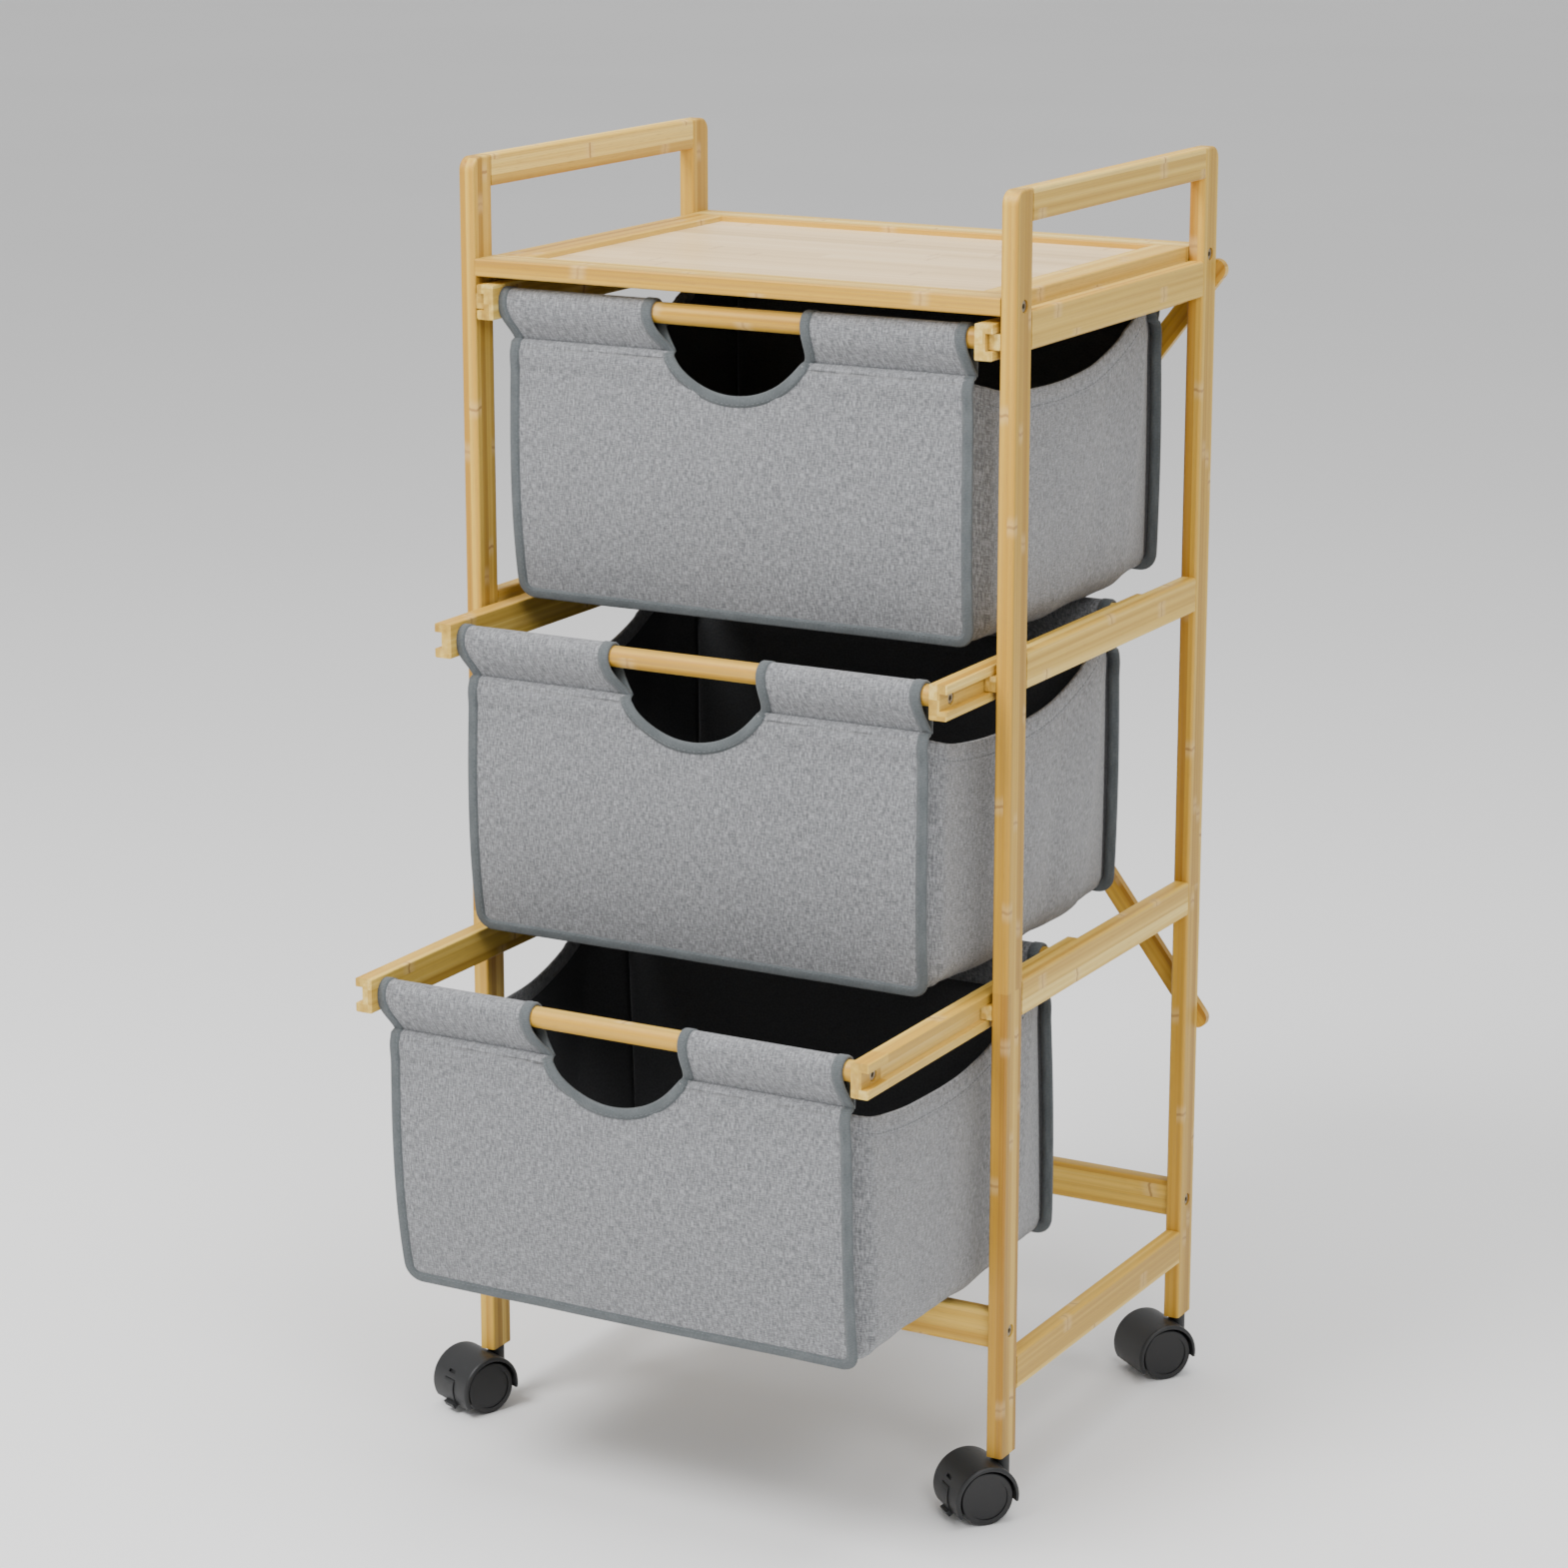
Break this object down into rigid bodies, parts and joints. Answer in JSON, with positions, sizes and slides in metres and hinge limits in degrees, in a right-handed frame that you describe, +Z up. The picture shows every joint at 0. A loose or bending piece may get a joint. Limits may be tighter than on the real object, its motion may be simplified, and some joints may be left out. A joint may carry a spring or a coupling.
{
  "type": "laundry sorter",
  "caption": "Rolling laundry sorter: a slim bamboo frame on swivel casters, with a recessed top tray and stacked pull-out fabric bags that slide on grooved runners.",
  "frame": {"origin": "on the floor, at the middle of the footprint of the whole object as it stands with its middle and bottom drawers partly pulled out", "axes": "+Z up; the drawers pull out towards -Y; +X is to the right as seen from the front"},
  "size_m": [0.4882, 0.5155, 0.945],
  "materials": {
    "bamboo": "laminated bamboo, clear satin lacquer",
    "tray_board": "thin bamboo board, satin",
    "wood_screws": "zinc plated",
    "socket_bolts": "zinc plated",
    "caster_steel": "bright",
    "bag_cloth": "grey melange polyester weave",
    "caster_plastic": "fine textured, charcoal",
    "caster_wheels": "satin, near black"
  },
  "bodies": {
    "frame": {"front_left_leg": "bamboo", "front_right_leg": "bamboo", "back_left_leg": "bamboo", "back_right_leg": "bamboo", "left_handle_rail": "bamboo", "left_upper_rail": "bamboo", "left_middle_high_rail": "bamboo", "left_middle_low_rail": "bamboo", "left_bottom_rail": "bamboo", "left_top_guide": "bamboo", "left_middle_guide": "bamboo", "left_bottom_guide": "bamboo", "right_handle_rail": "bamboo", "right_upper_rail": "bamboo", "right_middle_high_rail": "bamboo", "right_middle_low_rail": "bamboo", "right_bottom_rail": "bamboo", "right_top_guide": "bamboo", "right_middle_guide": "bamboo", "right_bottom_guide": "bamboo", "tray_front_strip": "bamboo", "tray_back_strip": "bamboo", "tray_left_strip": "bamboo", "tray_right_strip": "bamboo", "tray_panel": "tray_board", "front_stretcher": "bamboo", "back_stretcher": "bamboo", "brace_rising_slat": "bamboo", "brace_falling_slat": "bamboo", "wood_screws": "wood_screws", "frame_bolts": "socket_bolts", "caster_stems": "caster_steel"},
    "top_drawer": {"top_left_runner": "bamboo", "top_right_runner": "bamboo", "top_front_dowel": "bamboo", "top_back_dowel": "bamboo", "top_bag": "bag_cloth", "top_dowel_screws": "socket_bolts"},
    "middle_drawer": {"middle_left_runner": "bamboo", "middle_right_runner": "bamboo", "middle_front_dowel": "bamboo", "middle_back_dowel": "bamboo", "middle_bag": "bag_cloth", "middle_dowel_screws": "socket_bolts"},
    "bottom_drawer": {"bottom_left_runner": "bamboo", "bottom_right_runner": "bamboo", "bottom_front_dowel": "bamboo", "bottom_back_dowel": "bamboo", "bottom_bag": "bag_cloth", "bottom_dowel_screws": "socket_bolts"},
    "front_left_caster": {"front_left_caster_housing": "caster_plastic"},
    "front_left_wheels": {"front_left_caster_wheels": "caster_wheels"},
    "front_left_brake": {"front_left_brake_lever": "caster_plastic"},
    "front_right_caster": {"front_right_caster_housing": "caster_plastic"},
    "front_right_wheels": {"front_right_caster_wheels": "caster_wheels"},
    "front_right_brake": {"front_right_brake_lever": "caster_plastic"},
    "back_left_caster": {"back_left_caster_housing": "caster_plastic"},
    "back_left_wheels": {"back_left_caster_wheels": "caster_wheels"},
    "back_right_caster": {"back_right_caster_housing": "caster_plastic"},
    "back_right_wheels": {"back_right_caster_wheels": "caster_wheels"}
  },
  "joints": [
    {"name": "top_drawer_slide", "type": "slide", "parent": "frame", "child": "top_drawer", "axis": [0, -1, 0], "range_m": [0, 0.2]},
    {"name": "middle_drawer_slide", "type": "slide", "parent": "frame", "child": "middle_drawer", "axis": [0, -1, 0], "range_m": [-0.0625, 0.1375]},
    {"name": "bottom_drawer_slide", "type": "slide", "parent": "frame", "child": "bottom_drawer", "axis": [0, -1, 0], "range_m": [-0.172, 0.028]},
    {"name": "front_left_caster_swivel", "type": "hinge", "parent": "frame", "child": "front_left_caster", "pos_m": [-0.20375, -0.07, 0.045], "axis": [0, 0, 1], "continuous": true},
    {"name": "front_left_wheels_roll", "type": "hinge", "parent": "front_left_caster", "child": "front_left_wheels", "pos_m": [-0.21117, -0.08749, 0.02], "axis": [0.9205, -0.3907, 0], "continuous": true},
    {"name": "front_left_brake_press", "type": "hinge", "parent": "front_left_caster", "child": "front_left_brake", "pos_m": [-0.21993, -0.10811, 0.02476], "axis": [0.9205, -0.3907, 0], "range_deg": [0, 10]},
    {"name": "front_right_caster_swivel", "type": "hinge", "parent": "frame", "child": "front_right_caster", "pos_m": [0.22375, -0.07, 0.045], "axis": [0, 0, 1], "continuous": true},
    {"name": "front_right_wheels_roll", "type": "hinge", "parent": "front_right_caster", "child": "front_right_wheels", "pos_m": [0.21154, -0.08456, 0.02], "axis": [0.766, -0.6428, 0], "continuous": true},
    {"name": "front_right_brake_press", "type": "hinge", "parent": "front_right_caster", "child": "front_right_brake", "pos_m": [0.19714, -0.10171, 0.02476], "axis": [0.766, -0.6428, 0], "range_deg": [0, 10]},
    {"name": "back_left_caster_swivel", "type": "hinge", "parent": "frame", "child": "back_left_caster", "pos_m": [-0.20375, 0.24, 0.045], "axis": [0, 0, 1], "continuous": true},
    {"name": "back_left_wheels_roll", "type": "hinge", "parent": "back_left_caster", "child": "back_left_wheels", "pos_m": [-0.21325, 0.22355, 0.02], "axis": [0.866, -0.5, 0], "continuous": true},
    {"name": "back_right_caster_swivel", "type": "hinge", "parent": "frame", "child": "back_right_caster", "pos_m": [0.22375, 0.24, 0.045], "axis": [0, 0, 1], "continuous": true},
    {"name": "back_right_wheels_roll", "type": "hinge", "parent": "back_right_caster", "child": "back_right_wheels", "pos_m": [0.21232, 0.22483, 0.02], "axis": [0.7986, -0.6018, 0], "continuous": true}
  ]
}
